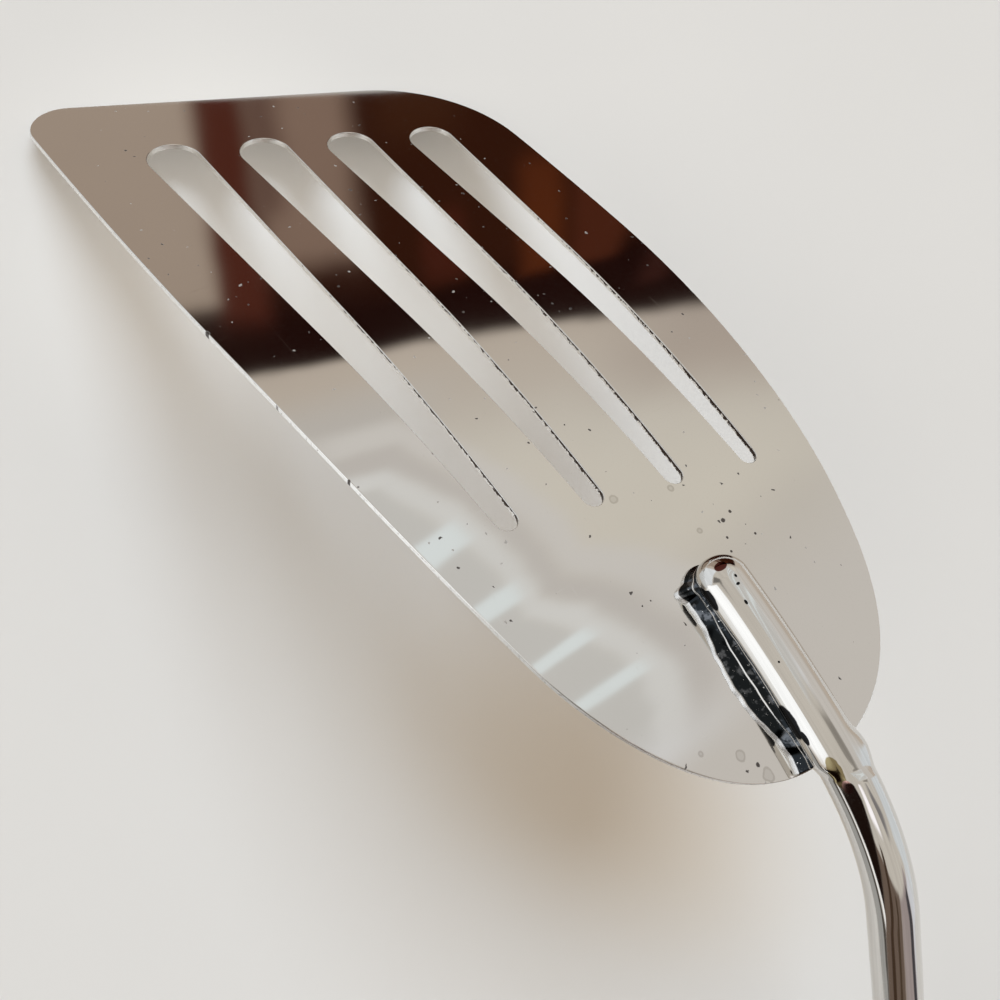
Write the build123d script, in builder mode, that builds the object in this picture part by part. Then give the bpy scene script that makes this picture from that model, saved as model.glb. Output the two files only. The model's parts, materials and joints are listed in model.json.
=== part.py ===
from build123d import *
from math import acos, asin, atan2, cos, degrees, hypot, radians, sin, sqrt
import os

# A fish spatula of stainless steel, lying as in the photograph: sole up, on its front edge and handle end.
# The blade's own axes: x from the front edge to the handle, y to the right, z out of the sole.

# Blade sheet, seen from the side: a flat front, then two arcs that bend away from the sole
sheet_thickness = 1.0
flat_length = 61.7
first_bend_radius = 280.0
first_bend_length = 50.0
second_bend_radius = 160.0
second_bend_length = 42.4

# Blade outline, seen square to its flat front
front_slant = 16.8
left_half_width = 40.6
right_half_width = 38.0
left_corner_radius = 7.0
right_corner_radius = 26.0
left_side_straight = 38.7
right_side_straight = 41.5
left_shoulder_before_tail = 29.2
left_shoulder_half_width = 30.3
right_shoulder_before_tail = 28.3
right_shoulder_half_width = 29.6
left_shoulder_slope_share = 0.24
right_shoulder_slope_share = 0.30
shoulder_lead_in = 32.0
shoulder_lead_out = 11.0
left_tail_fullness = 17.9
right_tail_fullness = 21.6

# Slots: round at both ends, tapered, in a fan
slot_count = 4
slot_pitch = 15.17
slot_pitch_loss_share = 0.0143
slot_front_width = 9.88
slot_width_loss_share = 0.0609
slot_front_setback = 14.8
slot_rear_gap = 12.5
slot_rear_step = 2.63

# Shank rod and the pressed part that is welded on the sole
rod_diameter = 7.0
rod_seat_sink = 0.3
pressed_width = 7.8
pressed_height = 6.25
pressed_round_height = 6.7
welded_length = 30.8
bend_before_tail = 0.9
bend_radius = 42.7
bend_angle = 33.84
pressed_past_bend = 2.8

# Weld beads
left_toe_width = 6.7
right_toe_width = 5.6
bead_rise = 2.6
bead_front_gap = 2.0
toe_width_shares = (0.88, 0.80, 0.95, 1.0, 0.98, 0.93, 0.82, 0.75, 0.68, 0.70)

# Hollow handle, measured along its axis from the end of the bend
exposed_rod_length = 24.0
ferrule_length = 16.0
ferrule_front_diameter = 10.0
handle_diameter = 17.0
handle_wall = 1.0
handle_reach = 120.0
cap_collar_length = 7.0
spigot_length = 7.0
rod_tail_length = 12.0

# Hanging loop, bent from wire
loop_wire_diameter = 2.5
loop_arm_length = 17.0
loop_side_gap = 0.6
loop_corner_radius = 2.0
loop_pin_depth = 4.0

# Clearances and the overrun of every cut
fit_clearance = 0.05
overrun = 3.0

# Places on the blade's side view
rod_radius = rod_diameter / 2
handle_radius = handle_diameter / 2
rod_axis_height = rod_radius - rod_seat_sink
first_bend_angle = first_bend_length / first_bend_radius
second_bend_start = flat_length + first_bend_length
tail_distance = second_bend_start + second_bend_length
bend_distance = tail_distance - bend_before_tail
nose_distance = bend_distance - welded_length
second_bend_turn = (bend_distance - second_bend_start) / second_bend_radius
blade_slope_at_rod_bend = first_bend_angle + second_bend_turn
handle_slope = blade_slope_at_rod_bend + radians(bend_angle)


def sole_point(distance):
    """Side view of the sole at a distance along it: x, z and its slope in radians."""
    if distance <= flat_length:
        return distance, 0.0, 0.0
    turn = min(distance - flat_length, first_bend_length) / first_bend_radius
    x = flat_length + first_bend_radius * sin(turn)
    z = first_bend_radius * (cos(turn) - 1)
    if distance > second_bend_start:
        slope = turn + (distance - second_bend_start) / second_bend_radius
        x += second_bend_radius * (sin(slope) - sin(turn))
        z += second_bend_radius * (cos(slope) - cos(turn))
        turn = slope
    return x, z, turn


# Where the blade ends, and where the rod starts and bends
tail_x = sole_point(tail_distance)[0]
nose_x, nose_z, nose_slope = sole_point(nose_distance)

# The rod's axis at the end of its bend, and the centre of the handle's domed end
bend_x, bend_z, bend_slope = sole_point(bend_distance)
bend_start = Vector(bend_x + rod_axis_height * sin(bend_slope), 0, bend_z + rod_axis_height * cos(bend_slope))
bend_centre = bend_start - Vector(bend_radius * sin(bend_slope), 0, bend_radius * cos(bend_slope))
bend_end = bend_centre + Vector(bend_radius * sin(handle_slope), 0, bend_radius * cos(handle_slope))
handle_direction = Vector(cos(handle_slope), 0, -sin(handle_slope))
dome_centre = bend_end + handle_direction * handle_reach

# How it lies: the table touches the lower line of the front edge and the dome
front_edge_foot = Vector(0, 0, -sheet_thickness)
to_dome = dome_centre - front_edge_foot
slant = radians(front_slant)
level_run = to_dome.X * cos(slant) - to_dome.Y * sin(slant)
tilt = asin(handle_radius / hypot(level_run, to_dome.Z)) - atan2(to_dome.Z, level_run)
table_normal = Vector(sin(tilt) * cos(slant), -sin(tilt) * sin(slant), cos(tilt))
forward = (to_dome - table_normal * to_dome.dot(table_normal)).normalized()
sideways = table_normal.cross(forward)
blade_x = Vector(forward.X, sideways.X, table_normal.X)
blade_y = Vector(forward.Y, sideways.Y, table_normal.Y)
blade_z = Vector(forward.Z, sideways.Z, table_normal.Z)

# The loop hangs from the dome's centre until its wire touches the table
loop_half_width = handle_radius + loop_side_gap + loop_wire_diameter / 2
loop_drop = handle_radius - loop_wire_diameter / 2
loop_square = loop_arm_length**2 - loop_half_width**2
loop_side_term = loop_drop**2 - (loop_half_width * blade_y.Z) ** 2
loop_root = sqrt((loop_drop * loop_arm_length) ** 2 - loop_square * loop_side_term)
loop_fall_share = (loop_root - loop_drop * loop_arm_length) / loop_square
handle_fall_share = (blade_x * handle_direction.X + blade_z * handle_direction.Z).Z
handle_rise_share = (blade_x * sin(handle_slope) + blade_z * cos(handle_slope)).Z
loop_lift = atan2(handle_rise_share, handle_fall_share) - acos(
    loop_fall_share / hypot(handle_fall_share, handle_rise_share)
)
loop_slope = handle_slope - loop_lift

# The origin is on the table, under the middle of the whole part
left_vertex = (-left_half_width * sin(slant) / cos(slant), -left_half_width)
right_vertex = (right_half_width * sin(slant) / cos(slant), right_half_width)


def outline_line():
    """The blade's outline with sharp front corners, in the flat front's plane."""
    left_at = (tail_x - left_shoulder_before_tail, -left_shoulder_half_width)
    right_at = (tail_x - right_shoulder_before_tail, right_shoulder_half_width)
    left_slope = left_shoulder_slope_share
    right_slope = right_shoulder_slope_share
    left_in = (left_at[0] - shoulder_lead_in, left_at[1] - left_slope * shoulder_lead_in)
    left_out = (left_at[0] + shoulder_lead_out, left_at[1] + left_slope * shoulder_lead_out)
    right_in = (right_at[0] - shoulder_lead_in, right_at[1] + right_slope * shoulder_lead_in)
    right_out = (right_at[0] + shoulder_lead_out, right_at[1] - right_slope * shoulder_lead_out)
    Bezier(left_vertex, (left_side_straight, -left_half_width), left_in, left_at)
    Bezier(left_at, left_out, (tail_x, -left_tail_fullness), (tail_x, 0))
    Bezier((tail_x, 0), (tail_x, right_tail_fullness), right_out, right_at)
    Bezier(right_at, right_in, (right_side_straight, right_half_width), right_vertex)
    Line(right_vertex, left_vertex)


with BuildLine(Plane(origin=(0, 0, 0), x_dir=blade_x, z_dir=blade_z)) as footprint:
    outline_line()

footprint_box = footprint.line.bounding_box()
loop_reach = loop_arm_length + loop_half_width + loop_wire_diameter / 2
loop_tip = dome_centre + Vector(cos(loop_slope), 0, -sin(loop_slope)) * loop_reach
middle_x = (footprint_box.min.X + left_corner_radius * sin(slant) + loop_tip.dot(forward)) / 2
middle_y = (footprint_box.min.Y + footprint_box.max.Y) / 2
blade_origin = Vector(-middle_x, -middle_y, sheet_thickness * table_normal.Z)


def placed(point):
    """A point given in the blade's own axes, in the part's frame."""
    return blade_origin + blade_x * point.X + blade_y * point.Y + blade_z * point.Z


def cross_plane(point, slope):
    """A plane square to the rod where its axis has this slope: x to the right, y away from the sole."""
    return Plane(origin=placed(point), x_dir=blade_y, z_dir=blade_x * cos(slope) - blade_z * sin(slope))


plan_plane = Plane(origin=blade_origin, x_dir=blade_x, z_dir=blade_z)
side_plane = Plane(origin=blade_origin, x_dir=blade_x, z_dir=-blade_y)
handle_plane = cross_plane(bend_end, handle_slope)
handle_section = Plane(origin=placed(bend_end), x_dir=handle_plane.z_dir, z_dir=-blade_y)
handle_axis = Axis(handle_plane.origin, handle_plane.z_dir)

# Centres that the second blade bend and the rod bend turn about
second_x, second_z, second_slope = sole_point(second_bend_start)
second_bend_centre = Vector(
    second_x - second_bend_radius * sin(second_slope), 0, second_z - second_bend_radius * cos(second_slope)
)
blade_bend_axis = Axis(placed(second_bend_centre), blade_y)
rod_bend_axis = Axis(placed(bend_centre), blade_y)

os.makedirs("parts", exist_ok=True)

# Blade
front_reach = left_half_width * sin(slant) / cos(slant) + overrun
rear_turn = degrees((second_bend_length + overrun) / second_bend_radius)
cut_reach = second_bend_radius / 2

with BuildPart() as blade:
    with BuildSketch(side_plane):
        with BuildLine():
            sole = Line((-front_reach, 0), (flat_length, 0))
            sole_bend = JernArc(sole @ 1, sole % 1, first_bend_radius, -degrees(first_bend_angle))
            sole_rear = JernArc(sole_bend @ 1, sole_bend % 1, second_bend_radius, -rear_turn)
            back = Line((-front_reach, -sheet_thickness), (flat_length, -sheet_thickness))
            back_bend_radius = first_bend_radius - sheet_thickness
            back_rear_radius = second_bend_radius - sheet_thickness
            back_bend = JernArc(back @ 1, back % 1, back_bend_radius, -degrees(first_bend_angle))
            back_rear = JernArc(back_bend @ 1, back_bend % 1, back_rear_radius, -rear_turn)
            Line(sole @ 0, back @ 0)
            Line(sole_rear @ 1, back_rear @ 1)
        make_face()
    extrude(amount=left_half_width + overrun, both=True)
    with BuildSketch(plan_plane) as outline:
        with BuildLine():
            outline_line()
        make_face()
        left_corner = outline.vertices().sort_by_distance(left_vertex)[0]
        fillet(left_corner, radius=left_corner_radius)
        right_corner = outline.vertices().sort_by_distance(right_vertex)[0]
        fillet(right_corner, radius=right_corner_radius)
    extrude(amount=cut_reach, both=True, mode=Mode.INTERSECT)
    for number in range(slot_count):
        place_share = number - (slot_count - 1) / 2
        front_apex = slot_front_setback + place_share * slot_pitch * sin(slant) / cos(slant)
        rear_apex = nose_x - slot_rear_gap + place_share * slot_rear_step
        front_radius = (slot_front_width - slot_width_loss_share * front_apex) / (2 + slot_width_loss_share)
        rear_radius = (slot_front_width - slot_width_loss_share * rear_apex) / (2 - slot_width_loss_share)
        front_x = front_apex + front_radius
        rear_x = rear_apex - rear_radius
        front_y = place_share * (slot_pitch - slot_pitch_loss_share * front_x)
        rear_y = place_share * (slot_pitch - slot_pitch_loss_share * rear_x)
        with BuildSketch(plan_plane):
            with Locations((front_x, front_y)):
                Circle(front_radius)
            with Locations((rear_x, rear_y)):
                Circle(rear_radius)
            make_hull()
        extrude(amount=cut_reach, both=True, mode=Mode.SUBTRACT)

blade.part.label = "blade"
export_step(blade.part, "parts/blade.step")

# Shank rod
round_nose_distance = nose_distance + pressed_width / 2
round_nose_x, round_nose_z, round_nose_slope = sole_point(round_nose_distance)
nose_plane = cross_plane(Vector(round_nose_x, 0, round_nose_z), round_nose_slope)
bend_plane = cross_plane(Vector(bend_x, 0, bend_z), bend_slope)
pressed_turn = pressed_past_bend / bend_radius
round_slope = bend_slope + pressed_turn
round_start = bend_centre + Vector(bend_radius * sin(round_slope), 0, bend_radius * cos(round_slope))
rod_straight = exposed_rod_length + ferrule_length + rod_tail_length


def pressed_oval(mode=Mode.ADD):
    """The oval that the bar is pressed to, where it stands on the sole."""
    with Locations((0, pressed_height - pressed_round_height / 2)):
        Ellipse(pressed_width / 2, pressed_round_height / 2, mode=mode)


def pressed_section():
    """The pressed bar: the oval, cut flat where it is welded."""
    pressed_oval()
    with Locations((0, pressed_height / 2)):
        Rectangle(pressed_width, pressed_height, mode=Mode.INTERSECT)


with BuildPart() as shank_rod:
    with BuildSketch(nose_plane):
        pressed_section()
        with Locations((pressed_width / 2, pressed_height / 2)):
            Rectangle(pressed_width, pressed_height, mode=Mode.INTERSECT)
    revolve(axis=Axis(nose_plane.origin, nose_plane.y_dir))
    with BuildSketch(nose_plane):
        pressed_section()
    revolve(axis=blade_bend_axis, revolution_arc=degrees(bend_slope - round_nose_slope))
    with BuildSketch(bend_plane):
        pressed_section()
    revolve(axis=rod_bend_axis, revolution_arc=degrees(pressed_turn))
    with BuildSketch(cross_plane(round_start, round_slope)):
        Circle(rod_radius)
    revolve(axis=rod_bend_axis, revolution_arc=bend_angle - degrees(pressed_turn))
    with BuildSketch(handle_plane):
        Circle(rod_radius)
    extrude(amount=rod_straight)

shank_rod.part.label = "shank_rod"
export_step(shank_rod.part, "parts/shank_rod.step")

# Weld beads: a fillet along each side of the pressed bar, with a scalloped toe
bead_distance = nose_distance + bead_front_gap
bead_x, bead_z, bead_slope = sole_point(bead_distance)
bead_plane = cross_plane(Vector(bead_x, 0, bead_z), bead_slope)
bead_turn = degrees(bend_slope - bead_slope)


def weld_bead(side, toe_width):
    """One bead. The side is -1 for the left of the rod and 1 for its right."""
    wall = side * pressed_width / 2
    with BuildPart() as bead:
        with BuildSketch(bead_plane):
            with BuildLine():
                foot = Line((0, 0), (side * toe_width, 0))
                crown = Bezier(foot @ 1, (wall, bead_rise / 2), (wall, bead_rise))
                Line(crown @ 1, (0, bead_rise))
                Line((0, bead_rise), (0, 0))
            make_face()
            pressed_oval(mode=Mode.SUBTRACT)
        revolve(axis=blade_bend_axis, revolution_arc=bead_turn)
        toe_step = (bend_x - bead_x) / (len(toe_width_shares) - 1)
        toe_points = []
        for number, width_share in enumerate(toe_width_shares):
            toe_points.append((bead_x + toe_step * number, side * toe_width * width_share))
        toe_end = bend_x + overrun
        with BuildSketch(plan_plane):
            with BuildLine():
                start = Line((bead_x - overrun, 0), toe_points[0])
                toe = Spline(*toe_points)
                back = Line(toe @ 1, (toe_end, toe_points[-1][1]))
                side_line = Line(back @ 1, (toe_end, 0))
                Line(side_line @ 1, start @ 0)
            make_face()
        extrude(amount=cut_reach, both=True, mode=Mode.INTERSECT)
    return bead.part


left_weld_bead = weld_bead(-1, left_toe_width)
left_weld_bead.label = "left_weld_bead"
export_step(left_weld_bead, "parts/left_weld_bead.step")
right_weld_bead = weld_bead(1, right_toe_width)
right_weld_bead.label = "right_weld_bead"
export_step(right_weld_bead, "parts/right_weld_bead.step")

# Ferrule: the collar that closes the handle round the rod, with a spigot inside the tube
tube_bore_radius = handle_radius - handle_wall
ferrule_front = exposed_rod_length
ferrule_back = ferrule_front + ferrule_length
rod_bore_radius = rod_radius + fit_clearance
spigot_radius = tube_bore_radius - fit_clearance

with BuildPart() as ferrule:
    with BuildSketch(handle_section):
        with BuildLine():
            lip = Line((ferrule_front, rod_bore_radius), (ferrule_front, ferrule_front_diameter / 2))
            flare_foot = (ferrule_front + ferrule_length / 3, ferrule_front_diameter / 2 + handle_wall)
            flare_head = (ferrule_back - ferrule_length / 3, handle_radius)
            flare = Bezier(lip @ 1, flare_foot, flare_head, (ferrule_back, handle_radius))
            seat = Line(flare @ 1, (ferrule_back, spigot_radius))
            spigot = Line(seat @ 1, (ferrule_back + spigot_length, spigot_radius))
            tip = Line(spigot @ 1, (ferrule_back + spigot_length, rod_bore_radius))
            Line(tip @ 1, lip @ 0)
        make_face()
    revolve(axis=handle_axis)

ferrule.part.label = "ferrule"
export_step(ferrule.part, "parts/ferrule.step")

# Handle tube
tube_length = handle_reach - cap_collar_length - ferrule_back

with BuildPart() as handle_tube:
    with BuildSketch(handle_plane.offset(ferrule_back)):
        Circle(handle_radius)
        Circle(tube_bore_radius, mode=Mode.SUBTRACT)
    extrude(amount=tube_length)

handle_tube.part.label = "handle_tube"
export_step(handle_tube.part, "parts/handle_tube.step")

# End cap: a collar and a dome, a spigot inside the tube and a cross bore for the loop
loop_bore_radius = loop_wire_diameter / 2 + fit_clearance
cap_front = handle_reach - cap_collar_length
dome_plane = handle_plane.offset(handle_reach)

with BuildPart() as end_cap:
    with BuildSketch(handle_section):
        with BuildLine():
            spigot = Line((cap_front - spigot_length, 0), (cap_front - spigot_length, spigot_radius))
            reach = Line(spigot @ 1, (cap_front, spigot_radius))
            seat = Line(reach @ 1, (cap_front, handle_radius))
            collar = Line(seat @ 1, (handle_reach, handle_radius))
            dome = RadiusArc(collar @ 1, (handle_reach + handle_radius, 0), handle_radius)
            Line(dome @ 1, spigot @ 0)
        make_face()
    revolve(axis=handle_axis)
    with BuildSketch(Plane(origin=dome_plane.origin, x_dir=dome_plane.z_dir, z_dir=blade_y)):
        Circle(loop_bore_radius)
    extrude(amount=handle_radius + overrun, both=True, mode=Mode.SUBTRACT)

end_cap.part.label = "end_cap"
export_step(end_cap.part, "parts/end_cap.step")

# Hanging loop: two pins, two arms and a half round end, bent from one wire
loop_direction = blade_x * cos(loop_slope) - blade_z * sin(loop_slope)
loop_plane = Plane(origin=dome_plane.origin, x_dir=loop_direction, z_dir=loop_direction.cross(blade_y))
pin_start = handle_radius - loop_pin_depth
loop_width = loop_half_width
arm_end = loop_arm_length
pin_foot = dome_plane.origin - blade_y * pin_start

with BuildPart() as hanging_loop:
    with BuildLine(loop_plane):
        FilletPolyline((0, -pin_start), (0, -loop_width), (arm_end, -loop_width), radius=loop_corner_radius)
        ThreePointArc((arm_end, -loop_width), (arm_end + loop_width, 0), (arm_end, loop_width))
        FilletPolyline((arm_end, loop_width), (0, loop_width), (0, pin_start), radius=loop_corner_radius)
    with BuildSketch(Plane(origin=pin_foot, x_dir=loop_direction, z_dir=-blade_y)):
        Circle(loop_wire_diameter / 2)
    sweep()

hanging_loop.part.label = "hanging_loop"
export_step(hanging_loop.part, "parts/hanging_loop.step")

# Places that the record gives, in millimetres and degrees
face_point = placed(Vector(flat_length / 2, 0, 0))
print("sole face", [round(value, 3) for value in tuple(face_point)])
print("sole face axis", [round(value, 6) for value in tuple(blade_z)])
print("loop hinge", [round(value, 3) for value in tuple(dome_plane.origin)])
print("loop axis", [round(value, 6) for value in tuple(blade_y)])
print("loop lift", round(degrees(loop_lift), 2), "blade tilt", round(degrees(tilt), 2))
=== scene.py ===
import json
from math import asin, atan2, cos, hypot, pi, radians, sin, sqrt, tan

import bpy
import numpy as np
from mathutils import Matrix, Vector
from mathutils.geometry import delaunay_2d_cdt


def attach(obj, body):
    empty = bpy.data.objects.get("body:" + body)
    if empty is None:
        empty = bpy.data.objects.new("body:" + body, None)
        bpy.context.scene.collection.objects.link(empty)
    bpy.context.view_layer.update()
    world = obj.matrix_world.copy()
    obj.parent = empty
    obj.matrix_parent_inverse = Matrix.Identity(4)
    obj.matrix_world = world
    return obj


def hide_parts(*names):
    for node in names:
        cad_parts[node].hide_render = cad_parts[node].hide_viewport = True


# The looks of a stainless steel fish spatula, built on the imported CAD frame.
# Shapes are modelled in the blade's own axes, in millimetres: x from the front edge to the handle,
# y to the right, z out of the sole. One matrix places them all in the part's frame.

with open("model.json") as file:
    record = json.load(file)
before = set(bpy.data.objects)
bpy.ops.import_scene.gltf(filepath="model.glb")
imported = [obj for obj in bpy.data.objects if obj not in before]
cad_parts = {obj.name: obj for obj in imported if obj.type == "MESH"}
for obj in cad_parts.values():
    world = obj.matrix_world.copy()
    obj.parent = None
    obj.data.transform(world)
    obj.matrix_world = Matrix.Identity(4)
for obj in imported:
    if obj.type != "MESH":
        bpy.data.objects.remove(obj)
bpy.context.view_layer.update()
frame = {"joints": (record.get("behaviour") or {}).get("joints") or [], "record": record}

MILLIMETRE = 0.001

# Blade sheet, seen from the side
sheet_thickness = 1.0
flat_length = 61.7
first_bend_radius = 280.0
first_bend_length = 50.0
second_bend_radius = 160.0
second_bend_length = 42.4
edge_round = 0.14

# Blade outline, seen square to its flat front
front_slant = radians(16.8)
left_half_width = 40.6
right_half_width = 38.0
left_corner_radius = 7.0
right_corner_radius = 26.0
left_side_straight = 38.7
right_side_straight = 41.5
left_shoulder_before_tail = 29.2
left_shoulder_half_width = 30.3
right_shoulder_before_tail = 28.3
right_shoulder_half_width = 29.6
left_shoulder_slope_share = 0.24
right_shoulder_slope_share = 0.30
shoulder_lead_in = 32.0
shoulder_lead_out = 11.0
left_tail_fullness = 17.9
right_tail_fullness = 21.6

# Slots
slot_count = 4
slot_pitch = 15.17
slot_pitch_loss_share = 0.0143
slot_front_width = 9.88
slot_width_loss_share = 0.0609
slot_front_setback = 14.8
slot_rear_gap = 12.5
slot_rear_step = 2.63

# Shank rod and its pressed part
rod_diameter = 7.0
rod_seat_sink = 0.3
pressed_width = 7.8
pressed_height = 6.25
pressed_round_height = 6.7
welded_length = 30.8
bend_before_tail = 0.9
bend_radius = 42.7
bend_angle = radians(33.84)
pressed_past_bend = 2.8
pressed_bulge = 0.55
nose_setback = 0.6
nose_drop = 0.8

# Weld beads
left_toe_width = 6.7
right_toe_width = 5.6
bead_seam_height = 1.95
bead_end_height = 2.75
toe_width_shares = (0.81, 0.82, 0.88, 0.98, 1.03, 1.05, 1.02, 0.92, 0.81, 0.75, 0.82)
bead_wrap_angle = radians(100)
bead_spur = 1.1
bead_spur_angle = radians(19)
bead_spur_reach = radians(17)

# Handle
exposed_rod_length = 24.0
ferrule_length = 16.0
ferrule_front_diameter = 10.0
handle_diameter = 17.0
handle_wall = 1.0
handle_reach = 120.0
cap_collar_length = 7.0
spigot_length = 7.0
rod_tail_length = 12.0
fit_clearance = 0.05
lip_round = 0.5
seam_round = 0.25

# Hanging loop, and how far it lies up from the handle's axis
loop_wire_diameter = 2.5
loop_arm_length = 17.0
loop_side_gap = 0.6
loop_corner_radius = 2.0
loop_pin_depth = 4.0
loop_lift = radians(12.87)

# Mesh steps, and the length along a piece that its map calls 1
outline_step = 0.9
blade_grid = 2.2
side_steps = 150
tail_steps = 60
left_corner_steps = 14
right_corner_steps = 28
slot_front_steps = 40
slot_rear_steps = 24
profile_steps = 40
long_step = 1.5
ring_sides = 96
wire_sides = 32
bead_columns = 64
bead_wrap_rows = 60
bead_straight_rows = 150
map_length = 20.0

# Places on the blade's side view
rod_radius = rod_diameter / 2
rod_axis_height = rod_radius - rod_seat_sink
pressed_drop = rod_axis_height - (pressed_height - pressed_round_height / 2)
second_bend_start = flat_length + first_bend_length
tail_distance = second_bend_start + second_bend_length
bend_distance = tail_distance - bend_before_tail
nose_distance = bend_distance - welded_length


def sole_point(distance):
    """Side view of the sole at a distance along it: x, z and its slope in radians."""
    if distance <= flat_length:
        return distance, 0.0, 0.0
    turn = min(distance - flat_length, first_bend_length) / first_bend_radius
    x = flat_length + first_bend_radius * sin(turn)
    z = first_bend_radius * (cos(turn) - 1)
    if distance > second_bend_start:
        slope = turn + (distance - second_bend_start) / second_bend_radius
        x += second_bend_radius * (sin(slope) - sin(turn))
        z += second_bend_radius * (cos(slope) - cos(turn))
        turn = slope
    return x, z, turn


tail_x = sole_point(tail_distance)[0]
nose_x = sole_point(nose_distance)[0]
bend_x, bend_z, bend_slope = sole_point(bend_distance)
handle_slope = bend_slope + bend_angle
second_x, second_z, second_slope = sole_point(second_bend_start)


def sole_slope(x):
    """The sole's slope where its side view reaches x, for an array of x."""
    first = np.arcsin(np.clip((x - flat_length) / first_bend_radius, 0, 1))
    second = np.arcsin(np.clip(sin(second_slope) + (x - second_x) / second_bend_radius, 0, 1))
    return np.where(x < second_x, first, second)


def sole_height(x):
    """The sole's height where its side view reaches x, for an array of x."""
    slope = sole_slope(x)
    first = first_bend_radius * (np.cos(slope) - 1)
    second = second_z + second_bend_radius * (np.cos(slope) - cos(second_slope))
    return np.where(x < second_x, first, second)


# The blade's axes and origin in the part's frame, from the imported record
mounts = {mount["name"]: mount for mount in frame["record"]["mounts"]}
joints = {joint["name"]: joint for joint in frame["joints"]}
blade_z = Vector(mounts["sole_face"]["axis"]).normalized()
blade_x = Vector(joints["loop_swing"]["axis"]).cross(blade_z).normalized()
blade_y = blade_z.cross(blade_x)
blade_origin = Vector(mounts["sole_face"]["pos_m"]) - blade_x * (flat_length / 2 * MILLIMETRE)
blade_axes = Matrix((blade_x, blade_y, blade_z)).transposed().to_4x4()
placement = Matrix.Translation(blade_origin) @ blade_axes @ Matrix.Scale(MILLIMETRE, 4)


# Node materials. Each piece carries its points' places in the blade's axes as an attribute.
PLACE = "blade_place"


def add(tree, kind, inputs=None, **settings):
    """A shader node of this kind with its settings and its inputs, which are values or sockets."""
    made = tree.nodes.new("ShaderNode" + kind)
    for key, value in settings.items():
        setattr(made, key, value)
    for key, value in (inputs or {}).items():
        if isinstance(value, bpy.types.NodeSocket):
            tree.links.new(value, made.inputs[key])
        else:
            made.inputs[key].default_value = value
    return made


def emptied(owner):
    """The material or world with an empty node tree, and that tree."""
    owner.use_nodes = True
    owner.node_tree.nodes.clear()
    return owner, owner.node_tree


def surfaced(owner, kind, inputs, output="OutputMaterial"):
    """The material or world with a shader of this kind as its surface."""
    shader = add(owner.node_tree, kind, inputs)
    add(owner.node_tree, output, {"Surface": shader.outputs[0]})
    return owner


def metal(material, colour, roughness, normal, metallic=1.0):
    """The material as metal of this colour, roughness and bump."""
    inputs = {"Base Color": colour, "Metallic": metallic, "Roughness": roughness, "Normal": normal}
    return surfaced(material, "BsdfPrincipled", inputs)


def fed(kind, inputs, **settings):
    """A shader node of this kind, in the tree of the sockets that feed it."""
    tree = next(value.id_data for value in inputs.values() if isinstance(value, bpy.types.NodeSocket))
    return add(tree, kind, inputs, **settings)


def calc(operation, *values):
    """A math node's output."""
    return fed("Math", dict(enumerate(values)), operation=operation).outputs[0]


def scaled(value, factor, offset):
    """A value times a factor, plus an offset."""
    return calc("MULTIPLY_ADD", value, factor, offset)


def piece_material(name):
    """An empty material, its tree, and the place in the blade's axes, which each piece carries."""
    material, tree = emptied(bpy.data.materials.new(name))
    return material, tree, add(tree, "Attribute", attribute_name=PLACE).outputs["Vector"]


def split(vector):
    """The three parts of a vector."""
    return fed("SeparateXYZ", {"Vector": vector}).outputs


def gap_from(place, middle):
    """How far a place is from a point."""
    return fed("VectorMath", {0: place, 1: middle}, operation="DISTANCE").outputs["Value"]


def ramp(value, start, end, low=0.0, high=1.0, kind="LINEAR"):
    """A straight or smooth line from low at start to high at end, and level past both."""
    inputs = {"Value": value, "From Min": start, "From Max": end, "To Min": low, "To Max": high}
    return fed("MapRange", inputs, interpolation_type=kind).outputs[0]


def smooth(value, start, end):
    """0 below start, 1 above end, and smooth between."""
    return ramp(value, start, end, kind="SMOOTHSTEP")


def mix_colour(share, *colours):
    """Two colours mixed by a share."""
    first, second = [(*value, 1) if isinstance(value, tuple) else value for value in colours]
    return fed("Mix", {0: share, 6: first, 7: second}, data_type="RGBA").outputs[2]


def noise(place, scale, detail=2.0, roughness=0.5):
    """A noise texture's value at a place."""
    inputs = {"Vector": place, "Scale": scale, "Detail": detail, "Roughness": roughness}
    return fed("TexNoise", inputs).outputs["Fac"]


def stretched(place, scale, turn=(0, 0, 0)):
    """A place turned and stretched."""
    return fed("Mapping", {"Vector": place, "Rotation": turn, "Scale": scale}).outputs[0]


def bump(height, distance, normal=None):
    """A bump of this height in millimetres, over another where there is one."""
    inputs = {"Height": height, "Distance": distance * MILLIMETRE}
    if normal is not None:
        inputs["Normal"] = normal
    return fed("Bump", inputs).outputs[0]


def linear(value):
    """A share of a display value as light."""
    if value <= 0.04045:
        return value / 12.92
    return ((value + 0.055) / 1.055) ** 2.4


steel_colour = (0.74, 0.725, 0.70)
duller_steel = (0.70, 0.685, 0.66)
speck_dark = (0.06, 0.05, 0.045)

# Marks on the sole that the photo shows, as x, y and radius
large_specks = [
    (118.7, 8.7, 0.4),
    (118.1, 10.7, 0.3),
    (121.1, 7.3, 0.25),
    (123.0, 6.4, 0.25),
    (125.2, 6.2, 0.25),
    (122.6, 11.9, 0.25),
    (147.2, -9.7, 0.35),
    (54.6, -38.9, 0.55),
    (64.5, -38.5, 0.35),
    (72.4, -37.9, 0.45),
    (80.2, -37.2, 0.35),
    (88.5, -36.1, 0.35),
    (132.3, -27.3, 0.4),
]
large_rings = [
    (110.9, 4.8, 0.4),
    (118.3, 4.1, 0.35),
    (108.3, -4.4, 0.6),
    (142.2, -16.4, 0.3),
    (145.1, -11.3, 0.6),
    (148.9, -9.1, 0.8),
]


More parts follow.
